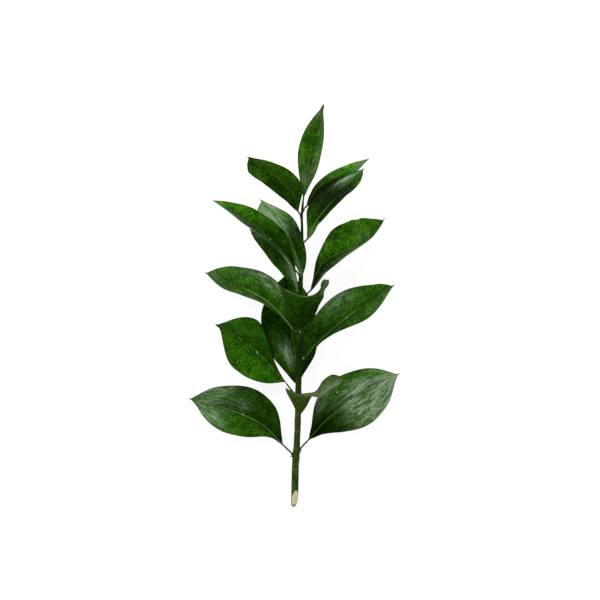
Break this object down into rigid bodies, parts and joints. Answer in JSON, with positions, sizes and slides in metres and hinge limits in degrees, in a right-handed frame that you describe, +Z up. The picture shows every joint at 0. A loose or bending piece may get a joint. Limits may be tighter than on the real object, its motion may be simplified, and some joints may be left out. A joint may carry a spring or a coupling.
{
  "type": "israeli ruscus stem",
  "caption": "Cut stem of Israeli ruscus lying flat: a slender green stem with broad, pointed, glossy dark leaves on short stalks.",
  "frame": {"origin": "middle of the bounding box, on the surface that the stem lies on", "axes": "+Y along the stem from its cut end to its tip, +Z up from the surface, +X to the right of the stem as seen from above"},
  "size_m": [0.1587, 0.3012, 0.0803],
  "materials": {
    "stem": "smooth green skin with fine ridges, brownish at the joints and cream on the cut",
    "leaf": "leathery dark green with a waxy streaky gloss",
    "leaf_underside": "matte olive green, seen from its lower side"
  },
  "bodies": {
    "root": {"stem": "stem", "leaf_01_left": "leaf", "leaf_02_right": "leaf", "leaf_03_front": "leaf_underside", "leaf_04_back": "leaf", "leaf_05_left": "leaf", "leaf_06_right": "leaf", "leaf_07_front": "leaf_underside", "leaf_08_left": "leaf", "leaf_09_right": "leaf", "leaf_10_left": "leaf", "leaf_11_front": "leaf", "leaf_12_left": "leaf", "leaf_13_right": "leaf", "leaf_14_left": "leaf", "leaf_15_right": "leaf", "leaf_16_top": "leaf"}
  },
  "joints": []
}
